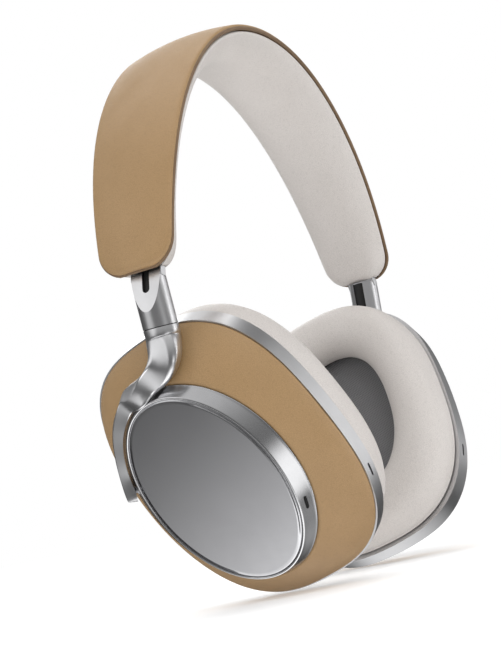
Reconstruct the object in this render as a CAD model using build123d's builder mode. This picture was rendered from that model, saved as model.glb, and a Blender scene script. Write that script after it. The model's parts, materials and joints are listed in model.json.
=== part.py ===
from build123d import *
from math import cos, sin, radians, pi, copysign
import os

# Over-ear headphones: leather headband, sliders, cast arms and oval ear cups.
# +Z is up, +Y the back of the head and -X the wearer's right. The origin is midway between the
# two tilt pivots. The right side is modelled, and the left side is its mirror image.

# ---------------------------------------------------------------- driving dimensions, in mm
half_span = 86.7  # headband's edge line at its lower end
end_height = 68.6
crown_height = 159.5
band_y = 1.3  # the headband's middle lies this far behind the ear axis
band_half_width = 19.7
end_half_width = 13.9
cover_thickness = 2.2
cover_crown = 2.2
spring_thickness = 1.4
cushion_rim = 2.6
cushion_thickness = 9.4
end_corner = 9.0

slide_lean = 15.5  # the slider moves outwards as it goes down
flat_at_end = -84.7
tongue_width = 12.2
tongue_thickness = 3.3
tongue_reach = 34.0
housing_wall = 1.1
running_gap = 0.1

tube_lean = 5.7  # the swivel tube leans inwards going down
tube_radius = 5.9
tube_foot = Vector(-82.25, 0, 49.6)
tube_height = 17.4
washer_height = 0.26
insert_width = 4.4
insert_depth = 1.2
swivel_pin_radius = 2.5

cup_centre = Vector(-69.9, 0, -5.8)
cup_tilt = 25.3  # the pads face upwards by this much at rest
oval_lean = 16.9  # the oval's top leans back
pivot_x = -69.9
pin_radius = 1.2
bezel_gap = 0.55
arm_front = -0.2
arm_end_radius = 2.1

# half axes and roundness of the cup's ovals
plate_oval = (35.8, 25.8, 2.03)
bezel_oval = (38.6, 30.9, 2.03)
shell_foot_oval = (39.3, 31.6, 2.05)
shell_low_oval = (45.1, 35.9, 2.3)
shell_high_oval = (49.6, 39.1, 2.55)
shell_rim_oval = (51.8, 40.5, 2.7)
ring_oval = (52.2, 40.7, 2.75)
pad_oval = (51.0, 39.9, 2.6)
well_oval = (30.0, 19.5, 2.3)
shell_wall = 2.2
ring_wall = 4.4

# depths behind the outer plate
bezel_back = 4.6
shell_front = 4.9
ring_front = 19.7
ring_back = 26.9
pad_front = 27.2
pad_back = 47.0

tilt = radians(cup_tilt)
lean = radians(oval_lean)
inward = Vector(cos(tilt), 0, sin(tilt))
long_axis = Vector(-sin(tilt) * cos(lean), sin(lean), cos(tilt) * cos(lean))
cup = Plane(origin=cup_centre, x_dir=long_axis, z_dir=inward)

slide_up = Vector(sin(radians(slide_lean)), 0, cos(radians(slide_lean)))
slide = Plane(origin=(flat_at_end, 0, end_height + 0.5), x_dir=(0, 1, 0), z_dir=slide_up)
slide_face = Plane(origin=slide.origin, x_dir=slide_up, z_dir=slide.y_dir)
tube_up = Vector(-sin(radians(tube_lean)), 0, cos(radians(tube_lean)))
tube = Plane(origin=tube_foot, x_dir=(0, 1, 0), z_dir=tube_up)
pivot = Plane(origin=(pivot_x, 0, 0), x_dir=(1, 0, 0), z_dir=(0, 1, 0))

os.makedirs("parts", exist_ok=True)


# ---------------------------------------------------------------- helpers
def keep(part, name):
    """Label a finished piece and write its STEP file."""
    solids = part.solids()
    piece = solids[0] if len(solids) == 1 else Compound(children=list(solids))
    piece.label = name
    export_step(piece, f"parts/{name}.step")


def keep_pair(part, name):
    """Write a right-hand piece and its mirror image."""
    keep(part, name + "_right")
    keep(mirror(part, about=Plane.YZ), name + "_left")


def oval_point(shape, angle, inset=0.0):
    """A point on a rounded oval, at an angle from its long axis."""
    half_long, half_short, power = shape
    u = copysign(abs(cos(angle)) ** (2 / power), cos(angle))
    v = copysign(abs(sin(angle)) ** (2 / power), sin(angle))
    return ((half_long - inset) * u, (half_short - inset) * v)


def oval(shape, inset=0.0, mode=Mode.ADD):
    """An oval face on the current sketch plane."""
    count = 28
    points = [oval_point(shape, 2 * pi * (i + 0.5) / count, inset) for i in range(count)]
    make_face(Edge.make_spline([Vector(*p) for p in points], periodic=True), mode=mode)


def at_cup(u, v, d):
    return cup.from_local_coords(Vector(u, v, d))


def rim_plane(shape, u, side, depth):
    """A plane on the side of an oval: X along its edge, Z outwards."""
    half_long, half_short, power = shape
    v = side * half_short * (1 - abs(u / half_long) ** power) ** (1 / power)
    slope_u = copysign(abs(u) ** (power - 1) / half_long**power, u)
    slope_v = copysign(abs(v) ** (power - 1) / half_short**power, v)
    outwards = cup.x_dir * slope_u + cup.y_dir * slope_v
    return Plane(origin=at_cup(u, v, depth), x_dir=outwards.cross(cup.z_dir), z_dir=outwards)


def slide_bar(middle, width, thickness, low, high, corner):
    """A straight bar along the slider's travel, its middle set in from the flat."""
    with BuildPart() as piece:
        with BuildSketch(slide.offset(low)):
            with Locations((0, -middle)):
                RectangleRounded(width, thickness, corner)
        extrude(amount=high - low)
    return piece.part


# ---------------------------------------------------------------- headband
def band_edge():
    """Points on the headband's edge line in the XZ plane, right end to left end."""
    right = [(-half_span, end_height), (-83.2, 84.2), (-72.8, 111.3), (-54.6, 136.3), (-30.6, 153.1)]
    left = [(-x, z) for x, z in reversed(right)]
    return right + [(0, crown_height)] + left


def band_side():
    """The headband's side outline, used to trim every strip to its tapered width."""
    half = [(end_half_width, end_height), (16.4, 99.5), (18.3, 133.0), (band_half_width, 175.0)]
    with BuildPart() as outline:
        with BuildSketch(Plane.YZ.offset(-110)):
            with BuildLine():
                rise = Spline(*[(band_y + w, z) for w, z in half])
                fall = Spline(*[(band_y - w, z) for w, z in half])
                Line(rise @ 0, fall @ 0)
                Line(rise @ 1, fall @ 1)
            make_face()
            fillet(vertices().group_by(Axis.Y)[0], end_corner)
        extrude(amount=220)
    return outline.part


def band_strip(half_width, top, bottom, top_crown, bottom_bulge):
    """A strip swept along the headband, between two heights from its edge line."""
    points = band_edge()
    with BuildPart() as strip:
        with BuildLine(Plane.XZ) as path:
            line = Spline(*points)
        start = line @ 0
        heading = line % 0
        with BuildSketch(Plane(origin=start + Vector(0, band_y, 0), x_dir=(0, 1, 0), z_dir=heading)):
            with BuildLine():
                if top_crown:
                    ThreePointArc((-half_width, top), (0, top + top_crown), (half_width, top))
                else:
                    Line((-half_width, top), (half_width, top))
                if bottom_bulge:
                    ThreePointArc((half_width, bottom), (0, bottom - bottom_bulge), (-half_width, bottom))
                else:
                    Line((half_width, bottom), (-half_width, bottom))
                Line((half_width, top), (half_width, bottom))
                Line((-half_width, bottom), (-half_width, top))
            make_face()
        sweep(path=path.line)
    return strip.part


def headband():
    spring_top = -running_gap
    spring_bottom = spring_top - spring_thickness
    cushion_top = -running_gap
    bulge = cushion_thickness - cushion_rim
    side = band_side()
    pocket = slide_bar(
        tongue_thickness / 2,
        tongue_width + 2 * housing_wall + 0.4,
        tongue_thickness + 2 * housing_wall + 0.4,
        -3,
        tongue_reach + 3,
        1.2,
    )
    pockets = [pocket, mirror(pocket, about=Plane.YZ)]
    groove = band_strip(9.1, 0.1, spring_bottom - running_gap, 0, 0)
    layers = [
        ("headband_cover", band_half_width, cover_thickness - 0.6, 0.0, cover_crown, 0, []),
        ("headband_spring", 9.0, spring_top, spring_bottom, 0, 0, []),
        ("headband_cushion", band_half_width, cushion_top, cushion_top - cushion_rim, 0, bulge, [groove]),
    ]
    for name, half_width, top, bottom, crown, swell, cuts in layers:
        with BuildPart() as layer:
            add(band_strip(half_width, top, bottom, crown, swell))
            add(side, mode=Mode.INTERSECT)
            for body in pockets + cuts:
                add(body, mode=Mode.SUBTRACT)
        keep(layer.part, name)

    with BuildPart() as housing:
        wide = tongue_width + 2 * housing_wall + 0.2
        thick = tongue_thickness + 2 * housing_wall + 0.2
        add(slide_bar(tongue_thickness / 2, wide, thick, 1.8, tongue_reach + 2.8, 1.1))
        wide = tongue_width + 2 * running_gap
        thick = tongue_thickness + 2 * running_gap
        add(
            slide_bar(tongue_thickness / 2, wide, thick, -1, tongue_reach + 1.2, 0.6),
            mode=Mode.SUBTRACT,
        )
    keep_pair(housing.part, "slider_housing")


# ---------------------------------------------------------------- slider
def slider():
    slot_low, slot_high = -8.2, tongue_reach - 3
    insert_low = 6.0
    slot_middle = (slot_low + slot_high) / 2
    slot_length = slot_high - slot_low
    with BuildPart() as body:
        with BuildSketch(tube.offset(washer_height + 0.04)):
            Circle(tube_radius)
        extrude(amount=tube_height)
        add(slide_bar(-10, 40, 20, -40, 40, 0.1), mode=Mode.SUBTRACT)
        add(slide_bar(tongue_thickness / 2, tongue_width, tongue_thickness, -3, tongue_reach, 0.6))
        with BuildSketch(slide_face.offset(0.5)):
            with Locations((slot_middle, 0)):
                SlotOverall(slot_length, 2.8)
        extrude(amount=-2.5, mode=Mode.SUBTRACT)
        with BuildSketch(tube):
            Circle(swivel_pin_radius + 0.05)
        extrude(amount=9.7, mode=Mode.SUBTRACT)
        with BuildSketch(tube.offset(insert_low)):
            with Locations((0, -tube_radius)):
                Rectangle(insert_width, 2 * insert_depth)
        extrude(amount=tube_height, mode=Mode.SUBTRACT)
    keep_pair(body.part, "slider_tube")

    with BuildPart() as insert:
        with BuildSketch(tube.offset(insert_low + 0.03)):
            Circle(tube_radius - 0.25)
            with Locations((0, -tube_radius)):
                Rectangle(insert_width - 0.06, 2 * insert_depth - 0.06, mode=Mode.INTERSECT)
        extrude(amount=tube_height - insert_low)
    keep_pair(insert.part, "slider_insert")

    with BuildPart() as liner:
        with BuildSketch(slide_face.offset(-1.9)):
            with Locations((slot_middle, 0)):
                SlotOverall(slot_length - 0.2, 2.6)
        extrude(amount=0.8)
    keep_pair(liner.part, "slot_liner")


# ---------------------------------------------------------------- arm
def beside_bezel(angle, reach, depth):
    """A point at this reach outside the bezel's rear edge."""
    t = radians(angle)
    half_long, half_short = bezel_oval[0], bezel_oval[1]
    u, v = cos(t) / half_long, -sin(t) / half_short
    size = (u * u + v * v) ** 0.5
    return at_cup(half_long * cos(t) + reach * u / size, -half_short * sin(t) + reach * v / size, depth)


def arm():
    # each section: centre, width across the arm, depth and corner radius
    sections = [
        (tube_foot, 2 * tube_radius, 2 * tube_radius, tube_radius - 0.05),
        (tube_foot - tube_up * 3.0, 2 * tube_radius, 2 * tube_radius, tube_radius - 0.05),
        (Vector(-83.2, -0.5, 43.4), 11.6, 9.4, 4.2),
        (Vector(-85.0, -0.9, 40.0), 11.1, 7.0, 2.8),
        (Vector(-85.7, 1.1, 36.1), 9.4, 5.6, 1.6),
    ]
    beside = [
        (-6, 2.7, 7.5, 4.6, 1.1),
        (11, 1.6, 5.9, 4.0, 0.7),
        (21, 0.8, 5.1, 3.6, 0.5),
        (31, 0.2, 4.9, 3.4, 0.5),
        (40, -0.4, 4.8, 3.4, 0.5),
        (51, -0.8, 4.7, 3.6, 0.5),
        (62, -0.7, 4.8, 4.4, 0.5),
        (73, -0.3, 4.9, 4.9, 0.5),
    ]
    for angle, reach, width, depth, corner in beside:
        sections.append((beside_bezel(angle, reach, arm_front + depth / 2), width, depth, corner))
    last = len(sections) - 1
    with BuildPart() as end_cut:
        with BuildSketch(Plane(origin=(pivot_x, 26, 0), x_dir=Vector(0, 1, 0).cross(inward), z_dir=(0, 1, 0))):
            with Locations((6, -6)):
                Rectangle(12, 12)
            Circle(arm_end_radius, mode=Mode.SUBTRACT)
        extrude(amount=14)
    with BuildPart() as bezel_room:
        with BuildSketch(cup.offset(-0.9)):
            oval(plate_oval, inset=-0.75 - bezel_gap * 1.4)
        with BuildSketch(cup.offset(bezel_back + 0.5)):
            oval(bezel_oval, inset=-bezel_gap * 1.4)
        loft()
    with BuildPart() as shell_room:
        with BuildSketch(cup.offset(shell_front - 0.4)):
            oval(shell_foot_oval, inset=-0.1)
        for depth, shape in ((10, shell_low_oval), (15.2, shell_high_oval), (20.2, shell_rim_oval)):
            with BuildSketch(cup.offset(depth)):
                oval(shape, inset=-0.75)
        loft(ruled=True)
    tilt_axis = Axis((pivot_x, 0, 0), (0, 1, 0))
    with BuildPart() as body:
        for i, (centre, width, depth, corner) in enumerate(sections):
            along = sections[min(i + 1, last)][0] - sections[max(i - 1, 0)][0]
            if i < 2:
                along = -tube_up
            out = Vector(-1, 0, 0) if i < 4 else -inward
            across = along.cross(out)
            with BuildSketch(Plane(origin=centre, x_dir=across, z_dir=along)):
                RectangleRounded(width, depth, corner)
        loft()
        for turn in (0, 9, 18, 26):
            for room in (bezel_room, shell_room):
                add(room.part.rotate(tilt_axis, turn), mode=Mode.SUBTRACT)
        add(end_cut.part, mode=Mode.SUBTRACT)
        with BuildSketch(pivot.offset(28)):
            Circle(pin_radius)
        extrude(amount=5.2, mode=Mode.SUBTRACT)
        with BuildSketch(tube.offset(-4.1)):
            Circle(swivel_pin_radius)
        extrude(amount=6, mode=Mode.SUBTRACT)
    keep_pair(body.part, "arm")

    with BuildPart() as washer:
        with BuildSketch(tube.offset(0.02)):
            Circle(tube_radius - 0.25)
            Circle(swivel_pin_radius + 0.1, mode=Mode.SUBTRACT)
        extrude(amount=washer_height - 0.02)
    keep_pair(washer.part, "swivel_washer")

    with BuildPart() as swivel:
        with BuildSketch(tube.offset(-4.0)):
            Circle(swivel_pin_radius)
        extrude(amount=13.0)
    keep_pair(swivel.part, "swivel_pin")

    with BuildPart() as pin:
        with BuildSketch(pivot.offset(27.5)):
            Circle(pin_radius)
        extrude(amount=5.6)
    keep_pair(pin.part, "tilt_pin")


# ---------------------------------------------------------------- ear cup, outer side
def cup_outside():
    socket_radius = 1.9
    with BuildPart() as plate:
        with BuildSketch(cup.offset(-0.6)):
            oval(plate_oval)
        extrude(amount=1.9)
        dome_radius = 1300.0
        with Locations(at_cup(0, 0, dome_radius - 0.6)):
            Sphere(dome_radius, mode=Mode.INTERSECT)
    keep_pair(plate.part, "cup_plate")

    mic = Plane(
        origin=at_cup(-19.8, 24.2, 2.0),
        x_dir=cup.x_dir * -0.86 - cup.y_dir * 0.5,
        z_dir=cup.x_dir * -0.37 + cup.y_dir * 0.63 - cup.z_dir * 0.68,
    )
    with BuildPart() as bezel:
        with BuildSketch(cup.offset(-0.1)):
            oval(plate_oval, inset=-0.75)
        with BuildSketch(cup.offset(bezel_back)):
            oval(bezel_oval)
        loft()
        with BuildSketch(cup.offset(-1)):
            oval(plate_oval, inset=-0.12)
        extrude(amount=2.4, mode=Mode.SUBTRACT)
        with BuildSketch(cup.offset(1)):
            oval(plate_oval, inset=2.0)
        extrude(amount=5, mode=Mode.SUBTRACT)
        with BuildSketch(mic):
            SlotOverall(4.6, 1.2)
        extrude(amount=3, both=True, mode=Mode.SUBTRACT)
        with BuildSketch(pivot.offset(27.2)):
            Circle(socket_radius)
        extrude(amount=8, mode=Mode.SUBTRACT)
    keep_pair(bezel.part, "cup_bezel")

    with BuildPart() as insert:
        with BuildSketch(mic.offset(-1.4)):
            SlotOverall(4.5, 1.1)
        extrude(amount=0.8)
    keep_pair(insert.part, "bezel_mic")

    with BuildPart() as socket:
        with BuildSketch(pivot.offset(27.3)):
            Circle(socket_radius - 0.02)
            Circle(pin_radius + 0.05, mode=Mode.SUBTRACT)
        extrude(amount=1.7)
    keep_pair(socket.part, "pivot_socket")

    outside = [
        (shell_front, shell_foot_oval),
        (10.0, shell_low_oval),
        (15.2, shell_high_oval),
        (ring_front - 0.1, shell_rim_oval),
    ]
    with BuildPart() as shell:
        for depth, shape in outside:
            with BuildSketch(cup.offset(depth)):
                oval(shape)
        loft()
        for depth, shape in outside:
            with BuildSketch(cup.offset(max(depth, shell_front + 1.9))):
                oval(shape, inset=shell_wall)
        loft(mode=Mode.SUBTRACT)
        with BuildSketch(cup.offset(4)):
            Ellipse(28, 20)
        extrude(amount=5, mode=Mode.SUBTRACT)
        with BuildSketch(cup.offset(shell_front + 1)):
            with Locations(*screw_places()):
                Circle(2.4)
        extrude(amount=19.2)
        with BuildSketch(cup.offset(18)):
            with Locations(*screw_places()):
                Circle(0.95)
        extrude(amount=10, mode=Mode.SUBTRACT)
    keep_pair(shell.part, "cup_shell")


def screw_places():
    return [(27, 9), (27, -9), (-27, 9), (-27, -9)]


# ---------------------------------------------------------------- ear cup, inner side
ring_middle = (ring_front + ring_back) / 2


def pill(plane, length, width, low, high):
    """A round-ended key between two heights from a plane."""
    with BuildPart() as key:
        with BuildSketch(plane.offset(low)):
            SlotOverall(length, width)
        extrude(amount=high - low)
    return key.part


def trim_ring(cutters):
    with BuildPart() as ring:
        with BuildSketch(cup.offset(ring_front)):
            oval(ring_oval)
            oval(ring_oval, inset=ring_wall, mode=Mode.SUBTRACT)
        extrude(amount=ring_back - ring_front)
        for cutter in cutters:
            add(cutter, mode=Mode.SUBTRACT)
    return ring.part


def cup_inside():
    mic = rim_plane(ring_oval, -27.5, 1, ring_middle)
    mic_cut = pill(mic, 4.8, 1.2, -1.6, 2)
    keep_pair(pill(mic, 4.7, 1.1, -1.5, -0.8), "ring_mic")

    volume_up = rim_plane(ring_oval, 6.0, -1, ring_middle)
    multi = rim_plane(ring_oval, -4.5, -1, ring_middle)
    volume_down = rim_plane(ring_oval, -15.0, -1, ring_middle)
    power = rim_plane(ring_oval, -27.0, -1, ring_middle)
    usb = Plane(origin=at_cup(-ring_oval[0], 0, ring_middle), x_dir=cup.y_dir, z_dir=-cup.x_dir)
    keys = [(volume_up, 8.4), (multi, 6.0), (volume_down, 8.4)]
    right_cuts = [mic_cut] + [pill(p, n + 0.6, 3.2, -6, 2) for p, n in keys]
    right_cuts.append(pill(power, 7.4, 2.8, -6, 2))
    right_cuts.append(pill(usb, 10.2, 4.2, -6, 2))
    keep(trim_ring(right_cuts), "trim_ring_right")
    keep(pill(volume_up, 8.4, 2.6, -3.2, 0.7), "volume_up_button")
    keep(pill(multi, 6.0, 2.6, -3.2, 0.7), "multi_button")
    keep(pill(volume_down, 8.4, 2.6, -3.2, 0.7), "volume_down_button")
    switch = Plane(origin=power.origin + power.x_dir * 1.2, x_dir=power.x_dir, z_dir=power.z_dir)
    keep(pill(switch, 4.4, 2.2, -3.2, 0.6), "power_switch")
    with BuildPart() as usb_socket:
        add(pill(usb, 10.0, 4.0, -6.5, -0.3))
        add(pill(usb, 8.9, 2.9, -5.7, 1), mode=Mode.SUBTRACT)
        with BuildSketch(usb.offset(-5.9)):
            Rectangle(6.7, 0.7)
        extrude(amount=4.6)
    keep(usb_socket.part, "usb_socket")

    left_multi = mirror(pill(multi, 6.6, 3.2, -6, 2), about=Plane.YZ)
    left_mic = mirror(mic_cut, about=Plane.YZ)
    plain_ring = mirror(trim_ring([]), about=Plane.YZ)
    with BuildPart() as ring_left:
        add(plain_ring)
        add(left_multi, mode=Mode.SUBTRACT)
        add(left_mic, mode=Mode.SUBTRACT)
    keep(ring_left.part, "trim_ring_left")
    keep(mirror(pill(multi, 6.0, 2.6, -3.2, 0.7), about=Plane.YZ), "quick_button")

    with BuildPart() as baffle:
        with BuildSketch(cup.offset(25.3)):
            oval(ring_oval, inset=ring_wall + 0.15)
            Circle(18.6, mode=Mode.SUBTRACT)
            with Locations(*screw_places()):
                Circle(1.2, mode=Mode.SUBTRACT)
            with Locations((36, 0), (-36, 0), (0, 26), (0, -26)):
                Circle(2.0, mode=Mode.SUBTRACT)
        extrude(amount=1.6)
    keep_pair(baffle.part, "baffle")

    with BuildPart() as screws:
        with BuildSketch(cup.offset(26.95)):
            with Locations(*screw_places()):
                Circle(1.9)
        extrude(amount=1.1)
        with BuildSketch(cup.offset(20.5)):
            with Locations(*screw_places()):
                Circle(0.9)
        extrude(amount=7)
        with BuildSketch(cup.offset(27.5)):
            with Locations(*screw_places()):
                Rectangle(2.4, 0.5)
                Rectangle(0.5, 2.4)
        extrude(amount=1, mode=Mode.SUBTRACT)
    keep_pair(screws.part, "baffle_screws")

    with BuildPart() as driver_frame:
        with BuildSketch(cup.offset(20.6)):
            Circle(20.8)
            Circle(13.5, mode=Mode.SUBTRACT)
        extrude(amount=1.2)
        with BuildSketch(cup.offset(20.6)):
            Circle(20.8)
            Circle(19.2, mode=Mode.SUBTRACT)
        extrude(amount=4.6)
    keep_pair(driver_frame.part, "driver_frame")

    with BuildPart() as magnet:
        with BuildSketch(cup.offset(12.4)):
            Circle(13.0)
        extrude(amount=8.9)
        chamfer(magnet.edges(), 0.6)
    keep_pair(magnet.part, "driver_magnet")

    with BuildPart() as cone:
        with BuildSketch(cup.offset(23.6)):
            Circle(19.0)
        extrude(amount=0.4)
        with BuildSketch(cup.offset(23.8)):
            Circle(8.5)
        extrude(amount=1.0, taper=40)
    keep_pair(cone.part, "driver_diaphragm")

    with BuildPart() as pad_ring:
        with BuildSketch(cup.offset(27.0)):
            oval(pad_oval, inset=6.0)
            oval(well_oval, inset=-3.0, mode=Mode.SUBTRACT)
        extrude(amount=1.3)
    keep_pair(pad_ring.part, "pad_ring")

    with BuildPart() as pad_mesh:
        with BuildSketch(cup.offset(28.35)):
            oval(well_oval, inset=-4.0)
        extrude(amount=0.25)
    keep_pair(pad_mesh.part, "pad_mesh")

    outside = [(pad_front, 1.0), (31.0, 0.0), (40.0, 0.3), (44.6, 3.0), (pad_back, 8.8)]
    inside = [(pad_front, -2.4), (33.0, -0.4), (39.0, 0.0), (43.5, -2.4), (pad_back, -9.4)]
    with BuildPart() as pad:
        for depth, inset in outside:
            with BuildSketch(cup.offset(depth)):
                oval(pad_oval, inset=inset)
        loft()
        for depth, inset in inside:
            with BuildSketch(cup.offset(depth)):
                oval(well_oval, inset=inset)
        loft(mode=Mode.SUBTRACT)
        with BuildSketch(cup.offset(26)):
            oval(pad_oval, inset=5.9)
        extrude(amount=2.7, mode=Mode.SUBTRACT)
    keep_pair(pad.part, "ear_pad")

    with BuildPart() as board:
        with BuildSketch(cup.offset(14.0)):
            oval(shell_low_oval, inset=6.0)
            Circle(15.0, mode=Mode.SUBTRACT)
            with Locations(*screw_places()):
                Circle(3.0, mode=Mode.SUBTRACT)
        extrude(amount=1.2)
    keep_pair(board.part, "circuit_board")

    with BuildPart() as battery:
        with BuildSketch(cup.offset(7.2)):
            RectangleRounded(36, 24, 2.5)
        extrude(amount=4.9)
    keep(battery.part, "battery")


headband()
slider()
arm()
cup_outside()
cup_inside()
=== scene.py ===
import json
import math
import bpy
import bmesh
import numpy as np
from mathutils import Matrix, Vector


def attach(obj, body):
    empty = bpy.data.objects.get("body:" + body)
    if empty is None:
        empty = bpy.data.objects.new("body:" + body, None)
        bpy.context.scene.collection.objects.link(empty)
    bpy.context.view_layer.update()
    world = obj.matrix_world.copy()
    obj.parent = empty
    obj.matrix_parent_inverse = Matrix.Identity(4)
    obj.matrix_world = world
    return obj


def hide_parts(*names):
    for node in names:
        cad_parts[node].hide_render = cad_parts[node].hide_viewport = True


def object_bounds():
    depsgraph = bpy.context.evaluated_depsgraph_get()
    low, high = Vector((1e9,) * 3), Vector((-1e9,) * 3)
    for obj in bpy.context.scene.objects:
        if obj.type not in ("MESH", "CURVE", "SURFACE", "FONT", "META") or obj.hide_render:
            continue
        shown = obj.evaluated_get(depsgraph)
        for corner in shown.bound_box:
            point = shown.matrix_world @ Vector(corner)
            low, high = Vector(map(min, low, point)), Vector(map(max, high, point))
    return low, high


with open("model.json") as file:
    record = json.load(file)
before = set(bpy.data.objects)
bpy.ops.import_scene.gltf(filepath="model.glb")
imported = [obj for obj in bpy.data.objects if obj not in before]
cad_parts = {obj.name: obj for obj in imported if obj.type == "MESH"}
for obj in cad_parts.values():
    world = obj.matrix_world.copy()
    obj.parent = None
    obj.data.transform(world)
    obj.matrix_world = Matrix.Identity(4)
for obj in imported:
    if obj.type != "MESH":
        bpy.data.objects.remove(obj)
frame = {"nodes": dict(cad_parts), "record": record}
nodes = frame["nodes"]


def plain_box(box):
    return [[float(c) for c in corner] for corner in box]


cad_box = plain_box(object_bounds())
MM = 0.001

# ---------------------------------------------------------------- the frame's shapes, in mm
# The headband's edge line as (x, z) up to the crown, and its half width at several heights.
BAND_EDGE = [
    (-86.7, 68.6), (-83.2, 84.2), (-72.8, 111.3), (-54.6, 136.3), (-30.6, 153.1), (0.0, 159.5),
]
BAND_WIDTHS = [(68.6, 13.9), (99.5, 16.4), (133.0, 18.3), (175.0, 19.7)]
BAND_Y = 1.3

# The right cup's centre and axes: N inwards through the cup, U up its long side, V to its front.
CUP_CENTRE = np.array([-69.9, 0.0, -5.8])
TILT, LEAN = math.radians(25.3), math.radians(16.9)
CUP_N = np.array([math.cos(TILT), 0.0, math.sin(TILT)])
CUP_U = np.array([
    -math.sin(TILT) * math.cos(LEAN), math.sin(LEAN), math.cos(TILT) * math.cos(LEAN),
])
CUP_V = np.cross(CUP_N, CUP_U)

# Rounded ovals as (half length, half width, power). The shell's each have their depth first.
PLATE, BEZEL = (35.8, 25.8, 2.03), (38.6, 30.9, 2.03)
PAD, WELL = (51.0, 39.9, 2.6), (30.6, 20.1, 2.3)
SHELL = [
    (4.9, 39.3, 31.6, 2.05), (10.0, 45.1, 35.9, 2.3),
    (15.2, 49.6, 39.1, 2.55), (19.6, 51.8, 40.5, 2.7),
]
BEZEL_TOP = -0.1
BEZEL_DEPTH = 4.7
ROUND = 144
OVAL_STEPS = 4001
SPLINE_STEPS = 1201


# ---------------------------------------------------------------- materials
def new_material(name):
    m = bpy.data.materials.new(name)
    m.use_nodes = True
    nt = m.node_tree
    return m, nt, nt.nodes["Principled BSDF"]


def node(nt, kind, **values):
    """A new node, with its properties or its inputs set by name."""
    n = nt.nodes.new(kind)
    for key, value in values.items():
        if hasattr(n, key):
            setattr(n, key, value)
        else:
            n.inputs[key.replace("_", " ")].default_value = value
    return n


def ramp(nt, factor, stops):
    """A colour ramp on factor, from stops of (place, colour)."""
    n = nt.nodes.new("ShaderNodeValToRGB")
    while len(n.color_ramp.elements) < len(stops):
        n.color_ramp.elements.new(0.5)
    for e, (p, c) in zip(n.color_ramp.elements, stops):
        e.position = p
        e.color = (*c, 1)
    nt.links.new(factor, n.inputs["Fac"])
    return n.outputs["Color"]


def grey(x):
    return (x, x, x)


def bump(nt, height, strength, distance, before=None):
    """A bump normal, on top of another where one is given."""
    n = nt.nodes.new("ShaderNodeBump")
    n.inputs["Strength"].default_value = strength
    n.inputs["Distance"].default_value = distance
    nt.links.new(height, n.inputs["Height"])
    if before is not None:
        nt.links.new(before, n.inputs["Normal"])
    return n.outputs["Normal"]


# Noise scales per metre, and depths and pitches in metres.
GRAIN, MOTTLE, SMUDGES, BLAST, SPARKS = 1900.0, 55.0, 70.0, 5200.0, 2600.0
GRAIN_DEPTH, FINE_DEPTH, WEAVE_DEPTH = 0.00012, 0.00005, 0.0001
BLAST_DEPTH, SPARK_DEPTH = 0.00002, 0.00004
WEAVE_PITCH = 0.00065
WARP_SHARE = 0.0004
# The share by which the grain's creases darken the colour: painted shade.
CREASE_SHADE_SHARE = 0.2


def leather(name, light, dark, strength=0.3, rough=0.47, sheen=0.1):
    """Fine smooth leather: pebbled grain with painted shade in its creases, soft mottling and a
    slightly worn gloss.
    """
    m, nt, b = new_material(name)
    co = nt.nodes.new("ShaderNodeTexCoord").outputs["Object"]
    warp = node(nt, "ShaderNodeTexNoise", Scale=GRAIN * 0.35, Detail=3.0)
    nt.links.new(co, warp.inputs["Vector"])
    mix = node(nt, "ShaderNodeMix", data_type="VECTOR")
    mix.inputs["Factor"].default_value = WARP_SHARE
    nt.links.new(co, mix.inputs["A"])
    nt.links.new(warp.outputs["Color"], mix.inputs["B"])
    cells = node(nt, "ShaderNodeTexVoronoi", feature="DISTANCE_TO_EDGE", Scale=GRAIN)
    nt.links.new(mix.outputs["Result"], cells.inputs["Vector"])
    depth = [(0.0, grey(0.0)), (0.16, grey(0.85)), (0.5, grey(1.0))]
    creases = ramp(nt, cells.outputs["Distance"], depth)
    fine = node(nt, "ShaderNodeTexNoise", Scale=GRAIN * 2.6, Detail=4.0)
    nt.links.new(co, fine.inputs["Vector"])
    broad = node(nt, "ShaderNodeTexNoise", Scale=MOTTLE, Detail=4.0, Roughness=0.6)
    nt.links.new(co, broad.inputs["Vector"])
    tone = ramp(nt, broad.outputs["Fac"], [(0.32, dark), (0.68, light)])
    # The grain's creases darken the base colour a little: painted shade in the recesses.
    crease_shade = node(nt, "ShaderNodeMix", data_type="RGBA", blend_type="MULTIPLY")
    crease_shade.inputs["Factor"].default_value = CREASE_SHADE_SHARE
    nt.links.new(tone, crease_shade.inputs["A"])
    nt.links.new(creases, crease_shade.inputs["B"])
    nt.links.new(crease_shade.outputs["Result"], b.inputs["Base Color"])
    gloss = ramp(nt, broad.outputs["Fac"], [(0.3, grey(rough + 0.06)), (0.7, grey(rough - 0.05))])
    nt.links.new(gloss, b.inputs["Roughness"])
    n1 = bump(nt, creases, strength, GRAIN_DEPTH)
    n2 = bump(nt, fine.outputs["Fac"], strength * 0.5, FINE_DEPTH, n1)
    nt.links.new(n2, b.inputs["Normal"])
    b.inputs["Sheen Weight"].default_value = sheen
    b.inputs["Sheen Roughness"].default_value = 0.4
    b.inputs["Specular IOR Level"].default_value = 0.4
    return m


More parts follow.
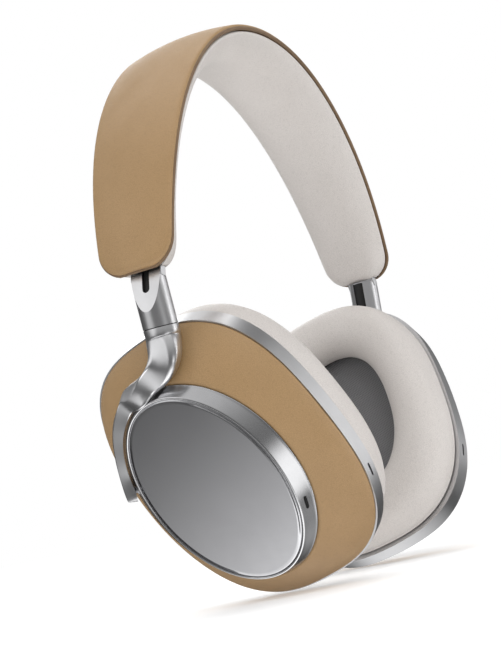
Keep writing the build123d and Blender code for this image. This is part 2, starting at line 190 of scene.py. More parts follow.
def metal(name, colour, rough, blast=0.0):
    """Satin or polished metal with faint smudges, and a very fine blasted texture where asked."""
    m, nt, b = new_material(name)
    b.inputs["Metallic"].default_value = 1.0
    co = nt.nodes.new("ShaderNodeTexCoord").outputs["Object"]
    smudge = node(nt, "ShaderNodeTexNoise", Scale=SMUDGES, Detail=5.0, Roughness=0.65)
    nt.links.new(co, smudge.inputs["Vector"])
    low = tuple(c * 0.95 for c in colour)
    tone = ramp(nt, smudge.outputs["Fac"], [(0.35, low), (0.65, colour)])
    nt.links.new(tone, b.inputs["Base Color"])
    gloss = ramp(nt, smudge.outputs["Fac"], [(0.3, grey(rough * 1.12)), (0.7, grey(rough * 0.9))])
    nt.links.new(gloss, b.inputs["Roughness"])
    if blast:
        fine = node(nt, "ShaderNodeTexNoise", Scale=BLAST, Detail=2.0)
        nt.links.new(co, fine.inputs["Vector"])
        nt.links.new(bump(nt, fine.outputs["Fac"], blast, BLAST_DEPTH), b.inputs["Normal"])
    return m


def plastic(name, colour, rough, specular=0.5):
    """Moulded plastic or rubber with a fine sparked texture."""
    m, nt, b = new_material(name)
    co = nt.nodes.new("ShaderNodeTexCoord").outputs["Object"]
    fine = node(nt, "ShaderNodeTexNoise", Scale=SPARKS, Detail=3.0)
    nt.links.new(co, fine.inputs["Vector"])
    tone = ramp(nt, fine.outputs["Fac"], [(0.3, tuple(c * 0.85 for c in colour)), (0.7, colour)])
    nt.links.new(tone, b.inputs["Base Color"])
    nt.links.new(bump(nt, fine.outputs["Fac"], 0.2, SPARK_DEPTH), b.inputs["Normal"])
    b.inputs["Roughness"].default_value = rough
    b.inputs["Specular IOR Level"].default_value = specular
    return m


def mesh_cloth(name, colour):
    """Fine acoustic mesh: a small square weave along the cup's own axes."""
    m, nt, b = new_material(name)
    co = nt.nodes.new("ShaderNodeTexCoord").outputs["Object"]
    height = None
    for axis in (CUP_U, CUP_V):
        dot = node(nt, "ShaderNodeVectorMath", operation="DOT_PRODUCT")
        nt.links.new(co, dot.inputs[0])
        dot.inputs[1].default_value = tuple(axis)
        turn = node(nt, "ShaderNodeMath", operation="MULTIPLY")
        nt.links.new(dot.outputs["Value"], turn.inputs[0])
        turn.inputs[1].default_value = 2 * math.pi / WEAVE_PITCH
        wave = node(nt, "ShaderNodeMath", operation="SINE")
        nt.links.new(turn.outputs[0], wave.inputs[0])
        if height is None:
            height = wave.outputs[0]
        else:
            both = node(nt, "ShaderNodeMath", operation="MAXIMUM")
            nt.links.new(height, both.inputs[0])
            nt.links.new(wave.outputs[0], both.inputs[1])
            height = both.outputs[0]
    tone = ramp(nt, height, [(0.0, tuple(c * 0.6 for c in colour)), (0.8, colour)])
    nt.links.new(tone, b.inputs["Base Color"])
    nt.links.new(bump(nt, height, 0.4, WEAVE_DEPTH), b.inputs["Normal"])
    b.inputs["Roughness"].default_value = 0.8
    b.inputs["Sheen Weight"].default_value = 0.2
    return m


TAN = leather("tan_leather", (0.415, 0.262, 0.125), (0.390, 0.245, 0.114), strength=0.2, sheen=0.03)
TAN_DARK = leather("tan_leather_edge", (0.22, 0.14, 0.075), (0.18, 0.11, 0.06))
PALE = leather("pale_leather", (0.685, 0.645, 0.615), (0.66, 0.62, 0.59), strength=0.1, rough=0.44)
SATIN = metal("satin_aluminium", (0.66, 0.66, 0.67), 0.33)
PLATE_METAL = metal("plate_aluminium", (0.52, 0.52, 0.535), 0.22)
POLISHED = metal("polished_aluminium", (0.62, 0.62, 0.63), 0.2)
STEEL = metal("spring_steel", (0.5, 0.5, 0.5), 0.3, blast=0.12)
BLACK = plastic("black_plastic", (0.012, 0.012, 0.012), 0.35, specular=0.25)
DARK = plastic("dark_plastic", (0.03, 0.03, 0.032), 0.55)
RUBBER = plastic("black_rubber", (0.01, 0.01, 0.01), 0.6)
MESH = mesh_cloth("grey_mesh", (0.18, 0.18, 0.186))
CONE = plastic("cone_film", (0.05, 0.05, 0.055), 0.35)
BOARD = plastic("circuit_board", (0.01, 0.07, 0.03), 0.4)
WRAP = plastic("battery_wrap", (0.02, 0.02, 0.05), 0.35)

by_slot = {
    "tan_leather": TAN, "light_leather": PALE, "grey_mesh": MESH,
    "satin_aluminium": SATIN, "plate_aluminium": PLATE_METAL, "polished_aluminium": POLISHED,
    "spring_steel": STEEL, "dark_plastic": DARK, "black_plastic": BLACK, "black_rubber": RUBBER,
    "cone_film": CONE, "circuit_board": BOARD, "battery_wrap": WRAP,
}
for part in frame["record"]["subparts"]:
    o = nodes[part["node"]]
    o.data.materials.clear()
    o.data.materials.append(by_slot[part["material_slot"]])


# ---------------------------------------------------------------- mesh helpers
def face_outwards(mesh, merge=0.0):
    """Turn every face of mesh outwards, with its points merged first where a distance is given."""
    bm = bmesh.new()
    bm.from_mesh(mesh)
    if merge:
        bmesh.ops.remove_doubles(bm, verts=bm.verts, dist=merge)
    bmesh.ops.recalc_face_normals(bm, faces=bm.faces)
    bm.to_mesh(mesh)
    bm.free()


def mesh_object(name, points, faces):
    """A mesh object in the scene, from points in mm."""
    mesh = bpy.data.meshes.new(name)
    mesh.from_pydata([tuple(p * MM) for p in np.asarray(points, float)], [], faces)
    mesh.validate()
    o = bpy.data.objects.new(name, mesh)
    bpy.context.scene.collection.objects.link(o)
    face_outwards(mesh)
    return o


def piece(name, points, faces, material, body, slot, replaces=(), smooth=True):
    """A visible piece, riding on a body and standing for the CAD nodes in replaces."""
    o = mesh_object(name, points, faces)
    mesh = o.data
    mesh.materials.append(material)
    if smooth:
        mesh.shade_smooth()
    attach(o, body)
    if replaces:
        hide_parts(*replaces)
    return o


def tube_faces(rows, columns, close_rows=False):
    """Faces over rows of closed loops, capped at both ends unless the last row joins the first."""
    faces = []
    for r in range(rows if close_rows else rows - 1):
        for c in range(columns):
            a, b = r * columns + c, r * columns + (c + 1) % columns
            d, e = ((r + 1) % rows) * columns + c, ((r + 1) % rows) * columns + (c + 1) % columns
            faces.append((a, b, e, d))
    if not close_rows:
        faces.append(tuple(range(columns)))
        faces.append(tuple(range((rows - 1) * columns, rows * columns)))
    return faces


def oval_loop(shape, inset, count):
    """Points evenly spaced round a rounded oval, as (u, v)."""
    a, b, p = shape[0] - inset, shape[1] - inset, shape[2]
    t = np.linspace(0, 2 * math.pi, OVAL_STEPS)
    u = a * np.sign(np.cos(t)) * np.abs(np.cos(t)) ** (2 / p)
    v = b * np.sign(np.sin(t)) * np.abs(np.sin(t)) ** (2 / p)
    run = np.concatenate([[0], np.cumsum(np.hypot(np.diff(u), np.diff(v)))])
    want = np.linspace(0, run[-1], count + 1)[:-1]
    return np.stack([np.interp(want, run, u), np.interp(want, run, v)], 1)


def on_side(p, side):
    """Points of the right side, mirrored for the left."""
    return p * (-1, 1, 1) if side == "left" else p


def on_cup(uv, d, side):
    """Points of the right or left cup, from the cup's own axes to the row frame, in mm."""
    p = CUP_CENTRE + uv[:, :1] * CUP_U + uv[:, 1:2] * CUP_V + np.reshape(d, (-1, 1)) * CUP_N
    return on_side(p, side)


def oval_rows(rings, side, count):
    """Loops of points on a cup, one for each ring of (shape, inset, depth)."""
    loops = [on_cup(oval_loop(s, i, count), np.full(count, d), side) for s, i, d in rings]
    return np.concatenate(loops)


def oval_piece(name, rings, material, side, slot, replaced, loop=True):
    """A ring or dish on a cup, standing for one CAD node."""
    faces = tube_faces(len(rings), ROUND, close_rows=loop)
    points = oval_rows(rings, side, ROUND)
    piece(f"{name}_{side}", points, faces, material, f"cup_{side}", slot, [f"{replaced}_{side}"])


def band_spline():
    """The headband's edge line as a dense run of points, with its outward normals and arc length.

    It is a cubic spline through BAND_EDGE and its mirror image, with not-a-knot ends.
    """
    half = np.array(BAND_EDGE)
    p = np.concatenate([half, half[:-1][::-1] * (-1, 1)])
    run = np.concatenate([[0], np.cumsum(np.hypot(*np.diff(p, axis=0).T))])
    t = np.linspace(0, run[-1], SPLINE_STEPS)
    n = len(p)
    h = np.diff(run)
    a = np.zeros((n, n))
    rhs = np.zeros((n, 2))
    a[0, 0], a[0, 1], a[0, 2] = h[1], -(h[0] + h[1]), h[0]
    a[-1, -1], a[-1, -2], a[-1, -3] = h[-2], -(h[-2] + h[-1]), h[-1]
    for i in range(1, n - 1):
        a[i, i - 1], a[i, i], a[i, i + 1] = h[i - 1], 2 * (h[i - 1] + h[i]), h[i]
        rhs[i] = 6 * ((p[i + 1] - p[i]) / h[i] - (p[i] - p[i - 1]) / h[i - 1])
    m2 = np.linalg.solve(a, rhs)
    k = np.clip(np.searchsorted(run, t, side="right") - 1, 0, n - 2)
    s0, s1 = (run[k + 1] - t)[:, None], (t - run[k])[:, None]
    hk = h[k][:, None]
    xz = (m2[k] * s0**3 + m2[k + 1] * s1**3) / (6 * hk)
    xz = xz + (p[k] / hk - m2[k] * hk / 6) * s0 + (p[k + 1] / hk - m2[k + 1] * hk / 6) * s1
    length = np.concatenate([[0], np.cumsum(np.hypot(*np.diff(xz, axis=0).T))])
    tangent = np.gradient(xz, length, axis=0)
    tangent /= np.linalg.norm(tangent, axis=1)[:, None]
    normal = np.stack([-tangent[:, 1], tangent[:, 0]], 1)
    return xz, normal, length


EDGE_XZ, EDGE_N, EDGE_S = band_spline()
BAND_LENGTH = float(EDGE_S[-1])


def band_point(s, across, height):
    """A point along the headband's arch, across from its middle and above its edge line."""
    x, z = np.interp(s, EDGE_S, EDGE_XZ[:, 0]), np.interp(s, EDGE_S, EDGE_XZ[:, 1])
    nx, nz = np.interp(s, EDGE_S, EDGE_N[:, 0]), np.interp(s, EDGE_S, EDGE_N[:, 1])
    return np.stack([x + nx * height, BAND_Y + across + 0 * x, z + nz * height], -1)


def band_half_width(s, corner=9.0):
    """Half width along the arch, with the ends' corners rounded."""
    z = np.interp(s, EDGE_S, EDGE_XZ[:, 1])
    zs, ws = zip(*BAND_WIDTHS)
    coef = np.polyfit(zs, ws, 3)
    w = np.polyval(coef, z)
    d = np.minimum(s, BAND_LENGTH - s)
    cut = np.clip(corner - d, 0, corner)
    return w - corner + np.sqrt(np.maximum(corner**2 - cut**2, 0))


PAD_END = 22
PAD_END_ROWS = 15
PAD_ROWS = 190
PAD_COLUMNS = 30
THIN_PAD = 5
ROLL_DEPTH = 2.2


def band_pad(name, top, bottom, inset, roll, material, slot, replaced):
    """A closed padded strip of the headband, rolled over at its edges.

    top and bottom give heights from the share across the band and the distance along it.
    """
    first = inset + (0.5 - 0.5 * np.cos(np.linspace(0, math.pi, PAD_END_ROWS))) * PAD_END
    middle_run = np.linspace(first[-1], BAND_LENGTH - first[-1], PAD_ROWS)[1:-1]
    along = np.concatenate([first, middle_run, BAND_LENGTH - first[::-1]])
    across = np.sin(np.linspace(-math.pi / 2, math.pi / 2, PAD_COLUMNS + 1))
    points, faces = [], []
    for surface in (top, bottom):
        for s in along:
            half = float(band_half_width(s)) - inset
            end = min(s, BAND_LENGTH - s) - inset
            for w in across:
                edge = min((1 - abs(w)) * half, end)
                round_off = (1 - (1 - min(max(edge / roll, 0), 1)) ** 2.0) ** 0.5
                high, low = top(w, s), bottom(w, s)
                middle = (high + low) / 2 if abs(high - low) < THIN_PAD else high - ROLL_DEPTH
                height = middle + (surface(w, s) - middle) * round_off
                points.append(band_point(s, w * half, height))
    n, c = len(along), PAD_COLUMNS + 1
    for sheet in (0, 1):
        for i in range(n - 1):
            for j in range(PAD_COLUMNS):
                a = sheet * n * c + i * c + j
                quad = (a, a + 1, a + c + 1, a + c)
                faces.append(quad if sheet == 0 else quad[::-1])
    o = piece(name, np.array(points), faces, material, "headband", slot, [replaced])
    face_outwards(o.data, merge=0.00002)
    o.data.shade_smooth()
    return o


def welt(name, points, radius, material, body, slot):
    """A thin round bead along a closed run of points in mm."""
    sides = 10
    tangent = np.roll(points, -1, 0) - np.roll(points, 1, 0)
    tangent /= np.linalg.norm(tangent, axis=1)[:, None]
    reference = np.array([0.0, 1.0, 0.0]) if abs(tangent[0][1]) < 0.9 else np.array([1.0, 0.0, 0.0])
    turn = np.linspace(0, 2 * math.pi, sides, endpoint=False)
    x = np.cross(tangent[0], reference)
    rows = []
    for centre, ahead in zip(points, tangent):
        x = x - ahead * (x @ ahead)
        x /= np.linalg.norm(x)
        y = np.cross(ahead, x)
        rows.append(centre + radius * (np.outer(np.cos(turn), x) + np.outer(np.sin(turn), y)))
    faces = tube_faces(len(points), sides, close_rows=True)
    return piece(name, np.concatenate(rows), faces, material, body, slot)


CLOTH_FRAMES = 20


def swell(o, pressure, cap, hold):
    """Swell o with a cloth simulation under pressure, applied to its mesh.

    Each point moves by at most cap mm, and hold says how much of that movement is kept.
    """
    before = np.array([v.co for v in o.data.vertices], float)
    cloth = o.modifiers.new("cloth", "CLOTH")
    cloth.settings.use_pressure = True
    cloth.settings.uniform_pressure_force = pressure
    cloth.settings.effector_weights.gravity = 0
    cloth.settings.tension_stiffness = 25
    cloth.settings.compression_stiffness = 25
    cloth.settings.shear_stiffness = 10
    cloth.settings.bending_stiffness = 0.6
    for f in range(1, CLOTH_FRAMES + 1):
        bpy.context.scene.frame_set(f)
    bake(o)
    bpy.context.scene.frame_set(1)
    after = np.array([v.co for v in o.data.vertices], float)
    move = after - before
    size = np.linalg.norm(move, axis=1)[:, None]
    move *= np.minimum(1, cap * MM / np.maximum(size, 1e-9))
    after = hold(before / MM, (before + move) / MM) * MM
    o.data.vertices.foreach_set("co", after.ravel())
    smooth = o.modifiers.new("smooth", "SMOOTH")
    smooth.factor = 0.5
    smooth.iterations = 4
    sub = o.modifiers.new("subdivide", "SUBSURF")
    sub.levels = 1
    bake(o)
    o.data.shade_smooth()


def bake(o):
    """Apply every modifier of o."""
    depsgraph = bpy.context.evaluated_depsgraph_get()
    depsgraph.update()
    mesh = bpy.data.meshes.new_from_object(o.evaluated_get(depsgraph))
    o.modifiers.clear()
    o.data = mesh


def cut(o, cutter_points, cutter_faces):
    """Take a closed cutter, in mm, out of o."""
    cutter = mesh_object("cutter", cutter_points, cutter_faces)
    boolean = o.modifiers.new("cut", "BOOLEAN")
    boolean.operation = "DIFFERENCE"
    boolean.solver = "EXACT"
    boolean.object = cutter
    bake(o)
    bpy.data.objects.remove(cutter)


# ---------------------------------------------------------------- headband
# The pockets as (low end, high end, half width, half thickness), measured from the tongue's middle
# at the foot of its travel, along the line that the slider leans on.
TONGUE_POCKET, HOUSING_POCKET = (-4.0, 1.75, 6.3, 1.85), (1.7, 37.2, 7.4, 2.9)
SLIDER_POCKET = (-4.0, 37.2, 6.3, 1.85)
SLIDE_LEAN = math.radians(15.5)
SLIDE_FOOT = np.array([-84.7, 0, 69.1])
TONGUE_MIDDLE = 1.65


def slider_pocket(side, size):
    """The straight pocket that the slider runs in, as a box, in mm."""
    up = np.array([math.sin(SLIDE_LEAN), 0, math.cos(SLIDE_LEAN)])
    out = np.array([-math.cos(SLIDE_LEAN), 0, math.sin(SLIDE_LEAN)])
    y = np.array([0, 1.0, 0])
    origin = SLIDE_FOOT - out * TONGUE_MIDDLE
    low, high, wide, thick = size
    corners = []
    for a in (low, high):
        for b, c in ((-wide, -thick), (wide, -thick), (wide, thick), (-wide, thick)):
            corners.append(origin + up * a + y * b + out * c)
    return on_side(np.array(corners), side), tube_faces(2, 4)


BED_DEPTH = -1.65
BED_RISE = 1.53
BED_HALF_WIDTH = 9.3
BED_BLEND = 1.5


def spring_bed(w, s):
    """Height of the cushion's upper face, sunk along the middle where the spring lies."""
    across = abs(w) * float(band_half_width(s))
    t = min(max((across - BED_HALF_WIDTH) / BED_BLEND, 0), 1)
    return BED_DEPTH + BED_RISE * t * t * (3 - 2 * t)


CUSHION_EDGE, CUSHION_CROWN = 2.6, 6.7
CROWN_POWER, END_POWER = 2.6, 3.0
COVER_EDGE, COVER_CROWN = 1.7, 2.1


def cushion_face(w, s):
    """Height of the cushion's lower face: a soft crown along the arch, fuller towards each end."""
    power = CROWN_POWER + END_POWER * max(0, 1 - min(s, BAND_LENGTH - s) / PAD_END)
    return -CUSHION_EDGE - CUSHION_CROWN * (1 - abs(w) ** power)


def cover_face(w, s):
    """Height of the cover's crowned outer face."""
    return COVER_EDGE + COVER_CROWN * (1 - w * w)


def cover_back(w, s):
    """Height of the cover's flat inner face."""
    return 0.0


cover = band_pad(
    "cover_leather", cover_face, cover_back, inset=0.0, roll=1.1,
    material=TAN, slot="tan_leather", replaced="headband_cover",
)
cushion = band_pad(
    "headband_pad", spring_bed, cushion_face, inset=0.3, roll=2.7,
    material=PALE, slot="light_leather", replaced="headband_cushion",
)
HELD_DEPTH = 1.8
HELD_BLEND = 2.5


def hold_cushion(before, after):
    """The cushion keeps its upper face against the cover, and only its lower face swells."""
    x, _, z = before.T
    apart = (x[:, None] - EDGE_XZ[None, :, 0]) ** 2 + (z[:, None] - EDGE_XZ[None, :, 1]) ** 2
    best = np.argmin(apart, axis=1)
    height = (x - EDGE_XZ[best, 0]) * EDGE_N[best, 0] + (z - EDGE_XZ[best, 1]) * EDGE_N[best, 1]
    free = np.clip((-height - HELD_DEPTH) / HELD_BLEND, 0, 1)[:, None]
    return before + (after - before) * free


swell(cushion, pressure=3.0, cap=0.8, hold=hold_cushion)
for side in ("right", "left"):
    cut(cushion, *slider_pocket(side, SLIDER_POCKET))
    for size in (HOUSING_POCKET, TONGUE_POCKET):
        cut(cover, *slider_pocket(side, size))
cushion.data.shade_smooth()
cover.data.shade_smooth()


OUTLINE_STEPS = 420


def band_outline(inset, height):
    """Closed run of points round the headband's outline, a little inside it."""
    s = np.linspace(inset + 0.02, BAND_LENGTH - inset - 0.02, OUTLINE_STEPS)
    half = np.array([float(band_half_width(x)) for x in s]) - inset
    front = [band_point(x, -h, height) for x, h in zip(s, half)]
    back = [band_point(x, h, height) for x, h in zip(s[::-1], half[::-1])]
    first = [band_point(s[0], y, height) for y in np.linspace(half[0], -half[0], 12)[1:-1]]
    last = [band_point(s[-1], y, height) for y in np.linspace(-half[-1], half[-1], 12)[1:-1]]
    return np.array(front + last + back + first)


outline = band_outline(inset=0.35, height=0.25)
welt("cover_welt", outline, radius=0.75, material=TAN_DARK, body="headband", slot="tan_leather")

# ---------------------------------------------------------------- ear cups
shell_fit = [np.polyfit([q[0] for q in SHELL], [q[k] for q in SHELL], 3) for k in (1, 2, 3)]


def shell_shape(d):
    """The leather shell's oval at a depth."""
    return tuple(float(np.polyval(f, d)) for f in shell_fit)


SLOPE_START, SLOPE_SPREAD = (36.55, 26.55), (2.05, 4.35)


def bezel_slope(share):
    """Half length and half width of the bezel's slope, from its lip at 0 to the leather at 1."""
    return SLOPE_START[0] + SLOPE_SPREAD[0] * share, SLOPE_START[1] + SLOPE_SPREAD[1] * share


MIC_TURN = math.radians(121.9)
MIC_SHARE = 0.447
MIC_REACH = 35.6
MIC_STRAIGHT, MIC_RADIUS = 1.7, 0.6
# The insert's foot and top, measured from the bezel's face.
MIC_LIFTS = (-0.6, 0.05)
MIC_ROUND = 32
SLOPE_LENGTH = 6.05
SLOPE_OUT = np.array([-0.333, 0.703, -0.629])


def mic_slot(side):
    """The microphone's dark insert, bent along the bezel's sloping face, in mm."""
    a = np.linspace(0, 2 * math.pi, MIC_ROUND, endpoint=False)
    x = MIC_STRAIGHT * np.sign(np.cos(a)) + MIC_RADIUS * np.cos(a)
    y = MIC_RADIUS * np.sin(a)
    turn, share, power = MIC_TURN + x / MIC_REACH, MIC_SHARE + y / SLOPE_LENGTH, 2 / BEZEL[2]
    long, wide = bezel_slope(share)
    uv = np.stack([-long * np.abs(np.cos(turn)) ** power, wide * np.sin(turn) ** power], 1)
    layers = []
    for lift in MIC_LIFTS:
        depth = BEZEL_TOP + BEZEL_DEPTH * share + SLOPE_OUT[2] * lift
        layers.append(on_cup(uv + SLOPE_OUT[:2] * lift, depth, side))
    return np.concatenate(layers), tube_faces(2, MIC_ROUND)


PLATE_MIDDLE, PLATE_RISE = -0.6, 0.5


def plate_rings():
    """The outer plate: a faintly domed disc with a bright narrow chamfer."""
    rings = []
    for share in (0.03, 0.15, 0.3, 0.45, 0.6, 0.72, 0.82, 0.9, 0.95, 0.98):
        shape = (PLATE[0] * share, PLATE[1] * share, PLATE[2])
        rings.append((shape, 0.0, PLATE_MIDDLE + PLATE_RISE * share * share))
    edge = [(0.62, -0.11), (0.5, -0.08), (0.1, 0.26), (0.0, 0.4), (0.0, 1.2), (1.0, 1.3)]
    return rings + [(PLATE, inset, depth) for inset, depth in edge]


def bezel_rings():
    """The bezel: a rolled lip round the plate, sloping back to the leather."""
    lip = [(-0.12, 1.3), (-0.12, 0.12), (-0.2, -0.04), (-0.38, -0.12), (-0.66, -0.1), (-0.86, 0.04)]
    rings = [(PLATE, inset, depth) for inset, depth in lip]
    for share in (0.08, 0.3, 0.55, 0.8, 0.94):
        rings.append(((*bezel_slope(share), BEZEL[2]), 0.0, BEZEL_TOP + BEZEL_DEPTH * share))
    back_edge = [(0.02, 4.46), (0.14, 4.58), (0.5, 4.6), (5.0, 4.6)]
    rings += [(BEZEL, inset, depth) for inset, depth in back_edge]
    return rings + [(PLATE, 2.0, 4.5), (PLATE, 2.0, 1.4)]


def shell_rings():
    """The leather shell, rolled over at both edges, from rows of (oval's depth, inset, depth)."""
    outer_edge = [(4.9, 2.6, 5.6), (4.9, 1.2, 5.0), (4.9, 0.55, 4.9), (4.92, 0.12, 4.93)]
    wall_depths = (5.05, 5.5, 6.4, 7.6, 9.0, 10.5, 12.0, 13.5, 15.0, 16.4, 17.6, 18.5, 19.1)
    wall = [(d, 0.0, d) for d in wall_depths]
    inner_edge = [(19.6, 0.05, 19.4), (19.6, 0.35, 19.6), (19.6, 0.9, 19.62), (19.6, 2.2, 19.6)]
    inside = [(15.2, 2.2, 15.2), (10.0, 2.2, 10.0), (7.0, 2.4, 7.2)]
    rows = outer_edge + wall + inner_edge + inside
    return [(shell_shape(oval), inset, depth) for oval, inset, depth in rows]


for side in ("right", "left"):
    oval_piece(
        "plate", plate_rings(), PLATE_METAL, side, "plate_aluminium", "cup_plate", loop=False
    )
    oval_piece("bezel", bezel_rings(), POLISHED, side, "polished_aluminium", "cup_bezel")
    piece(
        f"bezel_slot_{side}", *mic_slot(side), BLACK, f"cup_{side}", "black_plastic",
        replaces=[f"bezel_mic_{side}"], smooth=False,
    )
    oval_piece("shell_leather", shell_rings(), TAN, side, "tan_leather", "cup_shell")


# ---------------------------------------------------------------- ear pads
PAD_ROUND = 120
SEAT_DEPTH = 32.0
SEAT_BLEND = 3.2


def pad_base():
    """The right ear pad before it swells: a fat oval ring around the ear well."""
    outside = [
        (5.75, 28.75), (5.5, 28.2), (5.4, 27.2), (3.0, 27.12), (0.6, 27.12), (0.05, 27.25),
        (-0.05, 27.8), (0.0, 28.35), (0.4, 28.65), (0.1, 29.0), (-0.15, 29.9), (-0.2, 31.6),
        (0.0, 34.4), (0.35, 37.4), (1.1, 40.5), (2.8, 43.4), (5.4, 45.4), (8.6, 46.3),
    ]
    inside = [
        (-9.4, 46.3), (-5.6, 45.2), (-2.9, 42.8), (-1.2, 39.6), (-0.6, 36.0), (-0.9, 32.5),
        (-2.0, 29.6), (-3.6, 28.75),
    ]
    rings = [(PAD, inset, depth) for inset, depth in outside]
    rings += [(WELL, inset, depth) for inset, depth in inside]
    return oval_rows(rings, "right", PAD_ROUND), tube_faces(len(rings), PAD_ROUND, close_rows=True)


pad_right = piece("pad_right", *pad_base(), PALE, "cup_right", "light_leather", ["ear_pad_right"])


def hold_pad(before, after):
    """The pad stays above its clip ring and inside the cup's rim."""
    fix = np.clip((SEAT_DEPTH - (before - CUP_CENTRE) @ CUP_N) / SEAT_BLEND, 0, 1)[:, None]
    return after * (1 - fix) + before * fix


swell(pad_right, pressure=4.0, cap=1.4, hold=hold_pad)
left_points = on_side(np.array([v.co for v in pad_right.data.vertices], float) / MM, "left")
left_faces = [tuple(reversed(p.vertices)) for p in pad_right.data.polygons]
pad_left = piece(
    "pad_left", left_points, left_faces, PALE, "cup_left", "light_leather", ["ear_pad_left"]
)

# ---------------------------------------------------------------- floor, light and camera
FLOOR_RADIUS = 2.5
FLOOR_GAP = 0.0004
bm = bmesh.new()
bmesh.ops.create_circle(bm, cap_ends=True, segments=96, radius=FLOOR_RADIUS)
floor_mesh = bpy.data.meshes.new("floor")
bm.to_mesh(floor_mesh)
bm.free()
floor = bpy.data.objects.new("floor", floor_mesh)
floor.location = (0, 0, cad_box[0][2] - FLOOR_GAP)
bpy.context.scene.collection.objects.link(floor)

# The floor's own glow grows outwards, so its far edge melts into the white background.
fm, fnt, fb = new_material("floor_paint")
fb.inputs["Roughness"].default_value = 0.6
fb.inputs["Specular IOR Level"].default_value = 0.1
reach = node(fnt, "ShaderNodeVectorMath", operation="LENGTH")
fnt.links.new(fnt.nodes.new("ShaderNodeTexCoord").outputs["Object"], reach.inputs[0])
far = ramp(fnt, reach.outputs["Value"], [(0.0, grey(0.85)), (0.16, grey(0.8)), (0.6, grey(0.0))])
fnt.links.new(far, fb.inputs["Base Color"])
glow = ramp(fnt, reach.outputs["Value"], [(0.0, grey(0.3)), (0.16, grey(0.4)), (0.6, grey(1.0))])
fnt.links.new(glow, fb.inputs["Emission Color"])
fb.inputs["Emission Strength"].default_value = 1.0
floor_mesh.materials.append(fm)
floor.visible_glossy = False


LIGHT_TARGET = (0.0, 0.0, 0.05)


def area(name, place, size, power):
    """A soft area light facing the object."""
    data = bpy.data.lights.new(name, "AREA")
    data.shape = "RECTANGLE"
    data.size, data.size_y = size
    data.energy = power
    o = bpy.data.objects.new(name, data)
    bpy.context.scene.collection.objects.link(o)
    o.location = place
    o.rotation_euler = (Vector(LIGHT_TARGET) - Vector(place)).to_track_quat("-Z", "Y").to_euler()
    return o


key = area("key_softbox", (-0.55, -0.75, 0.75), (0.8, 0.8), 4.4)
key.visible_glossy = False
area("top_softbox", (0.1, 0.1, 1.0), (0.9, 0.9), 3.4)
area("side_softbox", (-0.78, 0.45, 0.32), (0.7, 0.9), 1.4)
area("front_strip", (0.45, -0.75, 0.12), (0.22, 1.2), 1.8)
area("back_softbox", (0.7, 0.6, 0.5), (0.6, 0.6), 2.6)

# The dome's brightness goes with height, and reflections also see dark and bright patches of it.
# The camera sees plain white.
world = bpy.data.worlds.new("studio")
world.use_nodes = True
wnt = world.node_tree
heading = wnt.nodes.new("ShaderNodeTexCoord").outputs["Generated"]
split = wnt.nodes.new("ShaderNodeSeparateXYZ")
wnt.links.new(heading, split.inputs[0])
# The direction's height, from -1..1 to 0..1.
rise = node(wnt, "ShaderNodeMath", operation="MULTIPLY_ADD")
wnt.links.new(split.outputs["Z"], rise.inputs[0])
rise.inputs[1].default_value = 0.5
rise.inputs[2].default_value = 0.5
dome = [
    (0.0, 2.6), (0.1, 2.3), (0.15, 0.9), (0.195, 0.26), (0.26, 0.16), (0.5, 0.22), (0.62, 0.4),
    (0.8, 0.8), (1.0, 0.9),
]
background = wnt.nodes["Background"]
sky = ramp(wnt, rise.outputs[0], [(q, grey(c)) for q, c in dome])
path = wnt.nodes.new("ShaderNodeLightPath")


def toward(direction, blend, stops, before):
    """Change what reflections see of the dome around one direction."""
    dot = node(wnt, "ShaderNodeVectorMath", operation="DOT_PRODUCT")
    wnt.links.new(heading, dot.inputs[0])
    dot.inputs[1].default_value = tuple(Vector(direction).normalized())
    mix = node(wnt, "ShaderNodeMix", data_type="RGBA", blend_type=blend)
    wnt.links.new(path.outputs["Is Glossy Ray"], mix.inputs["Factor"])
    wnt.links.new(before, mix.inputs["A"])
    wnt.links.new(ramp(wnt, dot.outputs["Value"], stops), mix.inputs["B"])
    return mix.outputs["Result"]


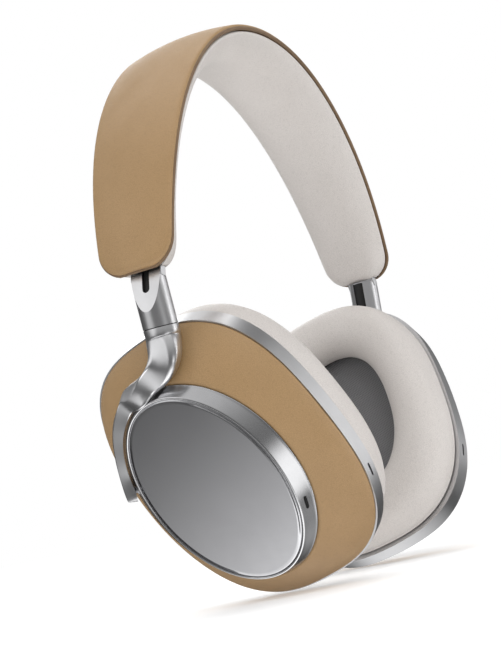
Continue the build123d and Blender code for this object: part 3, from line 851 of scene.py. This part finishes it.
sky = toward((0.7, 0.7, 0.0), "MULTIPLY", [(0.3, grey(1.0)), (0.75, grey(0.4))], sky)
sky = toward((0.67, -0.5, 0.55), "MULTIPLY", [(0.82, grey(1.0)), (0.94, grey(0.3))], sky)
sky = toward((0.5, -0.42, -0.75), "MULTIPLY", [(0.8, grey(1.0)), (0.95, grey(0.35))], sky)
sky = toward((-0.31, -0.88, -0.36), "ADD", [(0.945, grey(0.0)), (0.98, grey(1.8))], sky)
sky = toward((0.8, -0.55, 0.16), "ADD", [(0.955, grey(0.0)), (0.985, grey(1.2))], sky)
wnt.links.new(sky, background.inputs["Color"])
background.inputs["Strength"].default_value = 0.8
white = wnt.nodes.new("ShaderNodeBackground")
white.inputs["Color"].default_value = (1, 1, 1, 1)
white.inputs["Strength"].default_value = 1.0
choose = wnt.nodes.new("ShaderNodeMixShader")
wnt.links.new(path.outputs["Is Camera Ray"], choose.inputs["Fac"])
wnt.links.new(background.outputs[0], choose.inputs[1])
wnt.links.new(white.outputs[0], choose.inputs[2])
wnt.links.new(choose.outputs[0], wnt.nodes["World Output"].inputs["Surface"])
bpy.context.scene.world = world

azimuth, elevation, roll = math.radians(-61.64), math.radians(-6.37), math.radians(-11.98)
CAMERA_AIM = Vector((-0.00321, 0.00967, 0.05331))
DISTANCE = 0.575
LENS = 85.39535
level = math.cos(elevation)
back = Vector((math.sin(azimuth) * level, -math.cos(azimuth) * level, math.sin(elevation)))
right = Vector((math.cos(azimuth), math.sin(azimuth), 0))
up = back.cross(right)
cam_x = right * math.cos(roll) + up * math.sin(roll)
cam_y = -right * math.sin(roll) + up * math.cos(roll)
camera_data = bpy.data.cameras.new("camera")
camera_data.lens = LENS
camera_data.clip_end = 20
camera = bpy.data.objects.new("camera", camera_data)
bpy.context.scene.collection.objects.link(camera)
place = Matrix((cam_x, cam_y, back)).transposed().to_4x4()
place.translation = CAMERA_AIM + back * DISTANCE
camera.matrix_world = place
bpy.context.scene.camera = camera
bpy.context.scene.view_settings.view_transform = "Standard"
